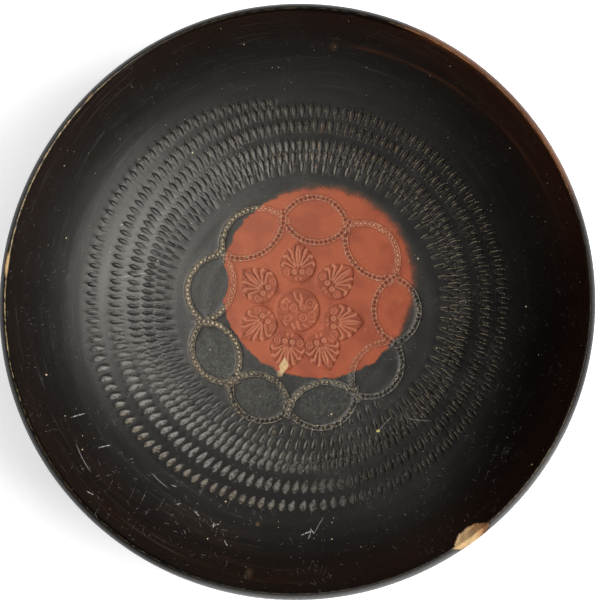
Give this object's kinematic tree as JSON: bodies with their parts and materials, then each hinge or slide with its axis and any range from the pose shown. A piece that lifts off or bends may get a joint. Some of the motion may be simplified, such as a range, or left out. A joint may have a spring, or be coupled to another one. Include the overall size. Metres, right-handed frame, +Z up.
{
  "type": "black-glazed bowl",
  "caption": "Shallow round bowl of fired clay with a curved wall, a soft turned-in lip, a ring foot and a stamped floor with palmettes, a beaded chain and a ring of short strokes.",
  "frame": {"origin": "centre of the foot ring's underside, on the surface that the bowl stands on", "axes": "+Z up through the mouth, +X to the right and +Y to the top as the picture shows the inside"},
  "size_m": [0.222, 0.222, 0.062],
  "materials": {
    "black_gloss": "glossy black slip on fired clay, worn, with a red-brown stacking disc on the floor"
  },
  "bodies": {
    "root": {"bowl": "black_gloss"}
  },
  "joints": []
}
